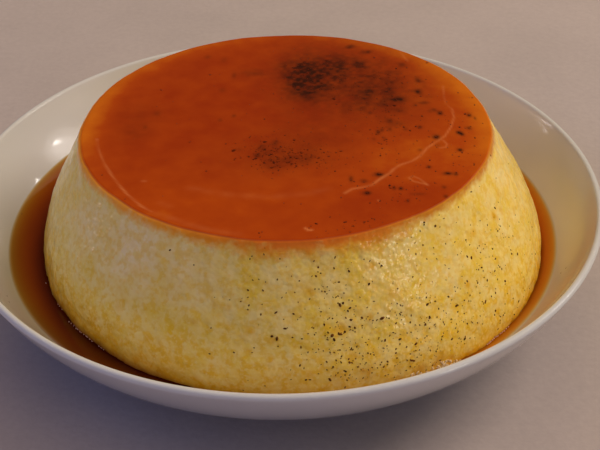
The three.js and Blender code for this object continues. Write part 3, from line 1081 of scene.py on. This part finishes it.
def syrup_colours(points, film):
    """The wall's colour through the syrup, whose film climbs it: darker where it is deep or in shade."""
    depth = np.maximum(SAUCE_LEVEL + film - inner_height(away(points)), 0)[:, None]
    full = smooth(depth, 0, BEAD_DEPTH)
    right = smooth(points[:, :1], *GLOW_ENDS)
    glow = 1 + (blend(right, *GLOWS) - 1) * full
    from_custard = np.maximum(away(points, BELLY_CENTRE) - BELLY_RADIUS, 0)[:, None]
    near = np.exp(-((from_custard / blend(right, *FOOT_SHADE_REACHES)) ** 2))
    shade = 1 - blend(right, *FOOT_SHADES) * near
    front = 1 - FRONT_SHADE * (smooth(-points[:, 1:2], *FRONT_SHADE_ENDS) * (1 - right))
    through = PORCELAIN * np.exp(-(depth + BEAD_THICKNESS * full) * SYRUP_ABSORPTION)
    return (through + SYRUP_DARKEST * full) * glow * shade * front


def crowded(count):
    """Shares from 0 to 1 that crowd towards both ends."""
    even = np.linspace(0, 1, count)
    return even**1.8 * (1 - even**6) + even**6 * (1 - (1 - even) ** 1.3)


def add_sauce():
    angles = directions(SAUCE_TURN_STEPS)
    inner = custard_edge(angles) - INTO_CUSTARD
    creep = blend(smooth(np.cos(angles), *CREEP_ENDS), *CREEP_UP_WALL)
    outer = inner_radius(SAUCE_LEVEL + creep) + INTO_WALL
    depths = np.linspace(1, 0, SAUCE_DEPTH_STEPS + 1)[:-1]
    rings = []
    for depth in depths:
        height = np.full_like(angles, blend(depth, SAUCE_LEVEL, SAUCE_FLOOR))
        radius = np.minimum(flan_reach(angles, height), inner_radius(height)) - INTO_WALL
        rings.append(around(angles, radius, height))
    for share in crowded(SAUCE_SURFACE_STEPS + 1):
        radius = blend(share, inner, outer)
        at_wall = creep * np.exp(-(outer - radius) / CREEP_REACH)
        rings.append(around(angles, radius, SAUCE_LEVEL + fillet_rise(angles, radius - inner) + at_wall))
    for depth in depths[::-1]:
        height = blend(depth, SAUCE_LEVEL, SAUCE_FLOOR)
        rings.append(around(angles, inner_radius(height) + INTO_WALL, height))
    faces = grid_faces(len(rings) + 1, SAUCE_TURN_STEPS) % (SAUCE_TURN_STEPS * len(rings))
    rings = np.stack(rings)
    vertices = rings.reshape(-1, 3)
    piece = add_piece("sauce_pool", vertices, faces.tolist(), sauce(), ["caramel_sauce"], 40)
    film = creep * np.exp(-np.abs(outer - away(rings)) / CREEP_REACH)
    syrup = syrup_colours(vertices, film.ravel())
    store(piece, "syrup", np.insert(syrup, 3, 1, axis=1), "FLOAT_COLOR", "color")
    store(piece, "clinging", 1 - smooth(away(vertices, BELLY_CENTRE) - BELLY_RADIUS, *CLINGING_ENDS))
    store(piece, "wall_normal", wall_normals(vertices), "FLOAT_VECTOR", "vector")


# ---- Vanilla seeds, foam and painted glints ----

# Seeds by pixels of the photograph, on the custard's side.
BIG_SIDE_SEEDS = [
    (369, 284), (382, 318), (396, 323), (425, 324), (332, 335), (340, 334), (345, 332), (385, 340),
    (400, 339), (486, 302), (457, 306), (452, 339), (330, 380), (496, 311), (427, 304), (340, 305),
    (472, 258), (493, 249), (285, 328), (272, 336), (277, 338), (351, 320), (350, 327), (416, 344),
    (412, 360), (465, 339), (505, 281), (340, 240),
]
MIDDLING_SIDE_SEEDS = [
    (393, 332), (442, 336), (355, 328), (345, 371), (372, 367), (411, 332), (410, 322), (382, 266),
    (349, 271), (334, 268), (335, 257), (316, 276), (478, 283), (449, 297), (439, 309), (495, 315),
    (503, 315), (513, 314), (518, 301), (410, 366), (406, 370), (397, 358), (396, 349), (396, 353),
    (327, 370), (300, 365), (341, 362), (334, 339), (301, 347), (350, 308), (348, 311), (343, 303),
    (468, 324), (432, 365), (358, 367), (352, 363), (380, 364), (306, 380), (345, 387), (247, 242),
    (248, 290), (276, 312), (211, 328), (170, 250), (500, 226), (495, 208), (472, 192), (518, 254),
    (495, 271), (500, 267), (465, 314), (400, 314), (423, 245), (261, 314),
]
SMALL_SIDE_SEEDS = [
    (381, 267), (312, 276), (318, 272), (314, 261), (364, 259), (370, 261), (409, 250), (440, 227),
    (439, 215), (470, 245), (466, 240), (455, 242), (484, 249), (511, 250), (513, 236), (499, 229),
    (496, 229), (491, 230), (481, 221), (498, 202), (532, 254), (536, 254), (530, 240), (532, 227),
    (458, 207), (502, 269), (465, 283), (455, 287), (458, 288), (468, 293), (452, 300), (426, 293),
    (426, 297), (435, 301), (444, 311), (458, 312), (469, 301), (471, 301), (483, 302), (505, 284),
    (522, 312), (536, 282), (395, 312), (401, 312), (411, 315), (368, 317), (378, 313), (377, 320),
    (370, 320), (346, 318), (356, 306), (338, 303), (338, 296), (336, 297), (333, 297), (349, 300),
    (360, 297), (344, 293), (339, 282), (346, 285), (359, 282), (315, 289), (319, 289), (327, 294),
    (337, 322), (312, 327), (325, 335), (302, 338), (308, 352), (340, 350), (338, 350), (334, 352),
    (330, 352), (351, 350), (353, 350), (357, 347), (353, 361), (336, 360), (332, 368), (333, 367),
    (304, 368), (363, 359), (374, 355), (368, 353), (387, 364), (379, 338), (382, 341), (395, 333),
    (400, 344), (421, 342), (425, 338), (427, 336), (417, 357), (414, 351), (421, 355), (407, 360),
    (430, 350), (443, 322), (440, 319), (451, 322), (444, 324), (473, 323), (459, 338), (457, 343),
    (470, 338), (458, 332), (464, 322), (478, 323), (500, 323), (413, 277), (393, 283), (416, 254),
    (427, 259), (310, 380), (291, 380), (347, 380), (349, 378), (345, 375), (341, 377), (363, 378),
    (385, 375), (388, 374), (338, 373), (331, 376), (252, 256), (250, 259), (264, 254), (280, 258),
    (259, 279), (263, 290), (248, 297), (282, 297), (249, 305), (278, 346), (254, 348), (252, 353),
    (234, 352), (265, 386), (524, 290), (528, 222), (434, 248), (437, 259), (350, 233), (360, 231),
]
# Seeds on the caramel, and on the bowl and sauce, the same way.
BIG_FACE_SEEDS = [
    (330, 217), (353, 226), (350, 232), (346, 222), (379, 174), (367, 193), (448, 173), (436, 137),
]
SMALL_FACE_SEEDS = [
    (125, 199), (121, 202), (131, 208), (146, 215), (142, 214), (153, 217), (160, 221), (168, 224),
    (178, 228), (182, 228), (191, 231), (259, 233), (262, 232), (260, 237), (102, 175), (201, 162),
    (311, 226), (309, 228), (326, 231), (317, 237), (380, 201), (392, 200), (398, 201), (408, 201),
    (370, 203), (446, 196), (301, 204), (284, 203), (401, 188), (394, 187), (460, 150), (440, 113),
    (469, 115), (469, 128), (429, 167), (351, 180), (363, 171), (364, 182), (347, 158), (319, 158),
    (360, 161), (306, 159), (289, 152), (278, 159), (275, 143), (300, 155), (317, 168), (336, 153),
    (273, 155), (258, 154), (261, 146), (311, 132), (303, 112), (378, 132),
]
DISH_SPECKS = [(566, 268), (561, 273), (7, 296), (9, 302), (22, 214), (550, 251)]
# Sizes of seeds. Those on the caramel are a little smaller.
BIG_SEED = 0.56 * MM
MIDDLING_SEED = 0.41 * MM
SMALL_SEED = 0.29 * MM
FACE_SEED_SHARE = 0.9
SEED_OUTSET = 0.04 * MM
# Seeds on the side keep this far from the sauce and the caramel's face, and bubbles from the sauce.
SEED_MARGIN = 1 * MM
BUBBLE_RISE = 0.5 * MM

# Clusters of specks: middle and half widths in pixels, and how many.
FACE_SPECK_CLUSTERS = [
    (274, 152, 27, 13, 280), (312, 158, 28, 9, 100), (309, 74, 14, 12, 110), (330, 82, 30, 18, 130),
    (382, 96, 34, 26, 190), (378, 136, 16, 12, 50), (402, 192, 40, 12, 60), (300, 120, 140, 56, 90),
    (462, 148, 20, 40, 50), (430, 135, 44, 60, 130), (372, 226, 28, 8, 50),
]
SIDE_SPECK_CLUSTERS = [
    (430, 320, 60, 36, 210), (345, 320, 30, 50, 110), (490, 260, 32, 50, 120), (440, 232, 52, 18, 24),
    (300, 300, 60, 60, 60), (380, 362, 60, 16, 120),
]
CLUSTER_SPREAD = 0.7
SPECK_SHAPE = 4
FACE_SPECK_SCALE = 0.064 * MM
SIDE_SPECK_SCALE = 0.048 * MM

# Pale bubbles where the custard's foot meets the lip.
BUBBLES = [
    (437, 364), (440, 366), (443, 363), (446, 365), (449, 361), (452, 364), (455, 362), (441, 361),
    (447, 360), (433, 367), (458, 361), (418, 374), (421, 373), (414, 376), (426, 372), (444, 366),
    (450, 365), (436, 367),
]
# Pale grains on the sauce's edge at the custard, painted highlights for the glints of its skin: pixels on the
# left, and along a line at the right front.
GLINT_PIXELS = [
    (46, 283), (58, 305), (60, 307), (63, 310), (69, 322), (71, 324), (74, 326), (76, 329), (78, 330),
    (80, 332), (82, 333), (84, 335), (88, 337), (90, 340), (92, 342), (101, 346), (102, 348), (104, 350),
    (485, 344), (487, 343), (489, 342), (491, 340), (493, 339), (495, 337), (497, 336), (499, 334),
    (501, 333), (503, 331), (505, 329), (507, 327),
]
GRAINS_AT_EACH = 4
# How far the painted glints lie from the custard, and how much larger they are on the left and the right.
GLINT_ENDS = (0.15 * MM, 1.5 * MM)
GLINT_SCALES = (1.6, 1.9)

# A grain's thickness, by its size, and how far it is sunk in the caramel.
GRAIN_THICKNESS = 0.4
GRAIN_SUNK = 0.1
# A direction that no surface here faces straight.
SPARE_DIRECTION = (0.31, 0.17, 0.93)


def seed_grain():
    """A unit grain: an octahedron with each face cut in four and pushed out to a ball."""
    corners = [corner for corner in itertools.product((-1, 0, 1), repeat=3) if 0 < np.abs(corner).sum() < 3]
    faces = []
    for x, y, z in itertools.product((-1, 1), repeat=3):
        a, b, c = (x, 0, 0), (0, y, 0), (0, 0, z)
        ab, bc, ca = (x, y, 0), (0, y, z), (x, 0, z)
        for face in ((a, ab, ca), (b, bc, ab), (c, ca, bc), (ab, bc, ca)):
            faces.append([corners.index(corner) for corner in face][:: x * y * z])
    return np.array(corners) / np.linalg.norm(corners, axis=1)[:, None], np.array(faces)


def add_grains(name, places, normals, sizes, finish, rng):
    """Flattened grains, each turned its own way on what it lies on."""
    grain, triangles = seed_grain()
    count = len(places)
    spin = rng.uniform(0, FULL_TURN, count)[:, None]
    across = np.cross(normals, SPARE_DIRECTION)
    across /= np.linalg.norm(across, axis=1)[:, None]
    first = across * np.cos(spin) + np.cross(normals, across) * np.sin(spin)
    long, wide = sizes * rng.uniform(1.0, 1.6, count), sizes * rng.uniform(0.6, 1.0, count)
    lengths = np.stack([long, wide, sizes * GRAIN_THICKNESS], axis=1)
    axes = np.stack([first, np.cross(normals, first), normals], axis=1) * lengths[:, :, None]
    vertices = places[:, None] + grain @ axes
    faces = (triangles[None] + len(grain) * np.arange(count)[:, None, None]).reshape(-1, 3)
    add_piece(name, vertices, faces.tolist(), finish)


def seeds_and_specks(named, clusters, scale, rng):
    """Pixels and sizes of the seeds in lists with their sizes, and of specks in clusters."""
    specks = np.concatenate(
        [
            np.array([x, y]) + rng.normal(0, CLUSTER_SPREAD, (count, 2)) * np.array([half_width, half_height])
            for x, y, half_width, half_height, count in clusters
        ]
    )
    pixels = np.concatenate([seeds for seeds, _ in named] + [specks])
    sizes = [np.full(len(seeds), size) * rng.uniform(0.8, 1.2, len(seeds)) for seeds, size in named]
    return pixels, np.concatenate(sizes + [rng.gamma(SPECK_SHAPE, scale, len(specks))])


def add_face_seeds(rng):
    big, small = FACE_SEED_SHARE * BIG_SEED, FACE_SEED_SHARE * MIDDLING_SEED
    named = [(BIG_FACE_SEEDS, big), (SMALL_FACE_SEEDS, small)]
    pixels, sizes = seeds_and_specks(named, FACE_SPECK_CLUSTERS, FACE_SPECK_SCALE, rng)
    places = on_face(pixels)
    inside = away(places, TOP_CENTRE) < TOP_RADIUS - CARAMEL_ROUNDING
    places, sizes = places[inside], sizes[inside]
    highest = CAD_BOX[1].z - GRAIN_THICKNESS * sizes
    places[:, 2] = np.minimum(places[:, 2], highest) - GRAIN_SUNK * sizes
    normals = np.tile([0.0, 0.0, 1.0], (len(places), 1))
    finish = grains("sunk_seed", srgb(62, 20, 8), srgb(98, 33, 8), 0.3)
    add_grains("seeds_in_caramel", places, normals, sizes, finish, rng)


def side_normals(places):
    """Directions round the flan, and directions straight off its side."""
    angles = direction(places, flan_centre(places[:, 2]))
    step = 0.5 * MM
    lean = (flan_radius(places[:, 2] - step) - flan_radius(places[:, 2] + step)) / (2 * step)
    normals = around(angles, 1.0, lean)
    return angles, normals / np.linalg.norm(normals, axis=1)[:, None]


def add_side_seeds(rng):
    named = [(BIG_SIDE_SEEDS, BIG_SEED), (MIDDLING_SIDE_SEEDS, MIDDLING_SEED), (SMALL_SIDE_SEEDS, SMALL_SEED)]
    pixels, sizes = seeds_and_specks(named, SIDE_SPECK_CLUSTERS, SIDE_SPECK_SCALE, rng)
    places = on_side(pixels)
    keep = (places[:, 2] > SAUCE_LEVEL + SEED_MARGIN) & (places[:, 2] < TOP_HEIGHT - SEED_MARGIN)
    places, sizes = places[keep], sizes[keep]
    angles, normals = side_normals(places)
    places = custard_point(angles, places[:, 2], outset=SEED_OUTSET)
    finish = grains("vanilla_seed", srgb(62, 36, 10), srgb(116, 70, 24), 0.6)
    add_grains("seeds_in_custard", places, normals, sizes, finish, rng)


def add_dish_specks(rng):
    places = on_dish(DISH_SPECKS)
    finish = grains("stray_seed", srgb(40, 20, 8), srgb(84, 44, 16), 0.6)
    sizes = np.full(len(places), SMALL_SEED)
    add_grains("seeds_in_sauce", places, wall_normals(places), sizes, finish, rng)


def clustered(pixels, spread, rng):
    """Some pixels close to each of the pixels."""
    repeated = np.repeat(pixels, GRAINS_AT_EACH, axis=0)
    return repeated + rng.normal(0, spread, repeated.shape)


def add_bubbles(rng):
    places = on_side(clustered(BUBBLES, 1.2, rng))
    angles, normals = side_normals(places)
    height = np.maximum(places[:, 2], SAUCE_LEVEL + BUBBLE_RISE)
    places = custard_point(angles, height, outset=SEED_OUTSET)
    sizes = rng.uniform(0.25, 0.70, len(places)) * MM
    finish = grains("pale_foam", srgb(214, 182, 132), srgb(238, 216, 178), 0.25)
    add_grains("bubbles_at_foot", places, normals, sizes, finish, rng)


def add_painted_glints(rng):
    """Pale grains on the sauce's fillet, where it climbs the custard, painted as the glints of its skin. The
    line at the right front is stronger.
    """
    places = on_dish(clustered(GLINT_PIXELS, 0.35, rng))
    angles = direction(places)
    edge = custard_edge(angles)
    from_edge = np.clip(away(places) - edge, *GLINT_ENDS)
    height = SAUCE_LEVEL + fillet_rise(angles, from_edge + INTO_CUSTARD)
    places = around(angles, edge + from_edge, height)
    sizes = rng.uniform(0.10, 0.22, len(places)) * np.where(places[:, 0] > 0, *GLINT_SCALES[::-1]) * MM
    finish = grains("rosy_painted_glint", srgb(226, 172, 158), srgb(246, 208, 194), 0.2)
    add_grains("painted_glints_on_sauce", places, side_normals(places)[1], sizes, finish, rng)


# ---- Stage ----

TABLE_SIZE = 6.0
LOOK_AT = Vector((0, 0, 50 * MM))
LIGHT_DISTANCE = 3.0
LAMP_COLOUR = (1.0, 0.93, 0.88)
WINDOW_COLOUR = (1.0, 0.93, 0.90)
ROOM_COLOUR = (0.02, 0.02, 0.025, 1)
# Soft lights: azimuth from the front to the right and elevation, both in degrees, size across or width
# and height, power, colour, and whether the surfaces mirror it.
LIGHTS = {
    "key": (110, 45, (1.6,), 61.5, (1.0, 0.86, 0.70), False),
    "lamp": (108.8, 27.3, (0.08,), 0.8, LAMP_COLOUR, True),
    "small_lamp": (128.1, 25.5, (0.05,), 0.35, LAMP_COLOUR, True),
    "window": (110, 31.8, (0.55,), 1.6, WINDOW_COLOUR, True),
    "window_glow": (109, 31.5, (0.95,), 2.6, WINDOW_COLOUR, True),
    "left_window": (-108, 7, (1.0, 0.08), 1.5, (1.0, 0.88, 0.88), True),
    "left_lamp": (-103, 8, (0.5, 0.10), 1.0, (1.0, 0.86, 0.90), True),
    "front_window": (55, 20, (0.5,), 4.6, (1.0, 0.95, 0.85), True),
    "fill_top": (0, 90, (4.0,), 34.0, (1.0, 0.76, 0.56), False),
    "fill_left": (-90, 30, (2.0,), 20.5, (0.38, 0.48, 0.95), False),
    "fill_front": (0, 21, (1.6,), 13.5, (0.50, 0.52, 1.0), False),
    "fill_right": (70, 35, (2.0,), 8.0, (1.0, 1.0, 0.72), False),
    "fill_back": (180, 35, (2.0,), 13.8, (1.0, 0.80, 0.16), False),
}


def add_table():
    mesh = bpy.data.meshes.new("table")
    half = TABLE_SIZE / 2
    mesh.from_pydata([(-half, -half, 0), (half, -half, 0), (half, half, 0), (-half, half, 0)], [], [range(4)])
    mesh.materials.append(table_top())
    table = add_object("table", mesh)


def add_light(name, azimuth, elevation, size, power, colour, mirrored):
    """A soft light that faces the part."""
    turn, rise = math.radians(azimuth), math.radians(elevation)
    towards = Vector((math.sin(turn) * math.cos(rise), -math.cos(turn) * math.cos(rise), math.sin(rise)))
    lamp = bpy.data.lights.new(name, "AREA")
    lamp.shape = "DISK" if len(size) == 1 else "RECTANGLE"
    lamp.size, lamp.size_y = size[0], size[-1]
    lamp.energy = power
    lamp.color = colour
    placed = add_object(name, lamp)
    placed.location = LOOK_AT + towards * LIGHT_DISTANCE
    placed.rotation_euler = towards.to_track_quat("Z", "Y").to_euler()
    placed.visible_glossy = mirrored


def add_room_light():
    """The dim room, which the glossy surfaces mirror."""
    world = bpy.data.worlds.new("room")
    bpy.context.scene.world = world
    world.use_nodes = True
    world.node_tree.nodes["Background"].inputs["Color"].default_value = ROOM_COLOUR


def add_stage():
    add_table()
    add_room_light()
    for name, light in LIGHTS.items():
        add_light(name, *light)
    bpy.context.scene.view_settings.view_transform = "Standard"


add_camera()
add_stage()
add_bowl()
add_custard(np.random.default_rng(1))
add_caramel(np.random.default_rng(2))
add_sauce()
add_face_seeds(np.random.default_rng(3))
add_side_seeds(np.random.default_rng(4))
add_dish_specks(np.random.default_rng(5))
add_bubbles(np.random.default_rng(6))
add_painted_glints(np.random.default_rng(7))
